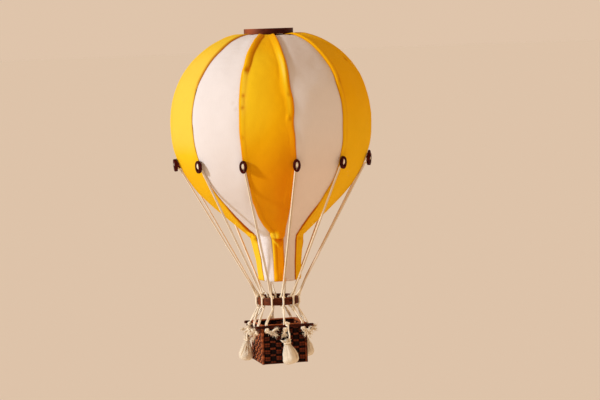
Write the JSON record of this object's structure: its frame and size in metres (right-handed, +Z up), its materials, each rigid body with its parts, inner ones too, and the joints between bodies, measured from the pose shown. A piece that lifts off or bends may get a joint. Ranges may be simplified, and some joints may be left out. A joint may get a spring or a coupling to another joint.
{
  "type": "decorative hanging model hot air balloon",
  "caption": "Small hanging decorative hot air balloon: striped fabric envelope of sewn gores, wooden crown disc and load ring, cords, square wicker basket and hanging sandbags.",
  "frame": {"origin": "middle of the crown disc's top face, where the balloon hangs", "axes": "+Z up along the balloon's axis, -Y out of the basket's front side, +X to its right"},
  "size_m": [0.2, 0.2, 0.326],
  "materials": {
    "yellow_cotton": "plain woven cotton, matt",
    "white_cotton": "plain woven cotton, matt",
    "dark_wood": "stained red-brown, satin",
    "wicker": "stained woven willow, satin",
    "cotton_cord": "natural twisted cotton",
    "linen": "natural woven linen, matt"
  },
  "bodies": {
    "balloon": {"basket_floor": "wicker", "basket_rim": "wicker", "cord_loop_1": "dark_wood", "cord_loop_10": "dark_wood", "cord_loop_11": "dark_wood", "cord_loop_12": "dark_wood", "cord_loop_2": "dark_wood", "cord_loop_3": "dark_wood", "cord_loop_4": "dark_wood", "cord_loop_5": "dark_wood", "cord_loop_6": "dark_wood", "cord_loop_7": "dark_wood", "cord_loop_8": "dark_wood", "cord_loop_9": "dark_wood", "crown_disc": "dark_wood", "gore_white_1": "white_cotton", "gore_white_2": "white_cotton", "gore_white_3": "white_cotton", "gore_white_4": "white_cotton", "gore_white_5": "white_cotton", "gore_white_6": "white_cotton", "gore_yellow_1": "yellow_cotton", "gore_yellow_2": "yellow_cotton", "gore_yellow_3": "yellow_cotton", "gore_yellow_4": "yellow_cotton", "gore_yellow_5": "yellow_cotton", "gore_yellow_6": "yellow_cotton", "load_ring": "dark_wood", "main_cord_1": "cotton_cord", "main_cord_10": "cotton_cord", "main_cord_11": "cotton_cord", "main_cord_12": "cotton_cord", "main_cord_2": "cotton_cord", "main_cord_3": "cotton_cord", "main_cord_4": "cotton_cord", "main_cord_5": "cotton_cord", "main_cord_6": "cotton_cord", "main_cord_7": "cotton_cord", "main_cord_8": "cotton_cord", "main_cord_9": "cotton_cord", "post_back_left": "wicker", "post_back_right": "wicker", "post_front_left": "wicker", "post_front_right": "wicker", "stick_back": "dark_wood", "stick_front": "dark_wood", "stick_left": "dark_wood", "stick_right": "dark_wood", "wall_back": "wicker", "wall_front": "wicker", "wall_left": "wicker", "wall_right": "wicker"},
    "sandbag_back": {"sandbag_back": "linen"},
    "sandbag_front": {"sandbag_front": "linen"},
    "sandbag_left": {"sandbag_left": "linen"},
    "sandbag_right": {"sandbag_right": "linen"}
  },
  "joints": [
    {"name": "sandbag_front_swing", "type": "hinge", "parent": "balloon", "child": "sandbag_front", "pos_m": [0, -0.025, -0.2892], "axis": [-1, 0, 0], "range_deg": [0, 75]},
    {"name": "sandbag_right_swing", "type": "hinge", "parent": "balloon", "child": "sandbag_right", "pos_m": [0.025, 0, -0.2925], "axis": [0, -1, 0], "range_deg": [0, 75]},
    {"name": "sandbag_back_swing", "type": "hinge", "parent": "balloon", "child": "sandbag_back", "pos_m": [0, 0.025, -0.2892], "axis": [1, 0, 0], "range_deg": [0, 75]},
    {"name": "sandbag_left_swing", "type": "hinge", "parent": "balloon", "child": "sandbag_left", "pos_m": [-0.025, 0, -0.2925], "axis": [0, 1, 0], "range_deg": [0, 75]}
  ]
}
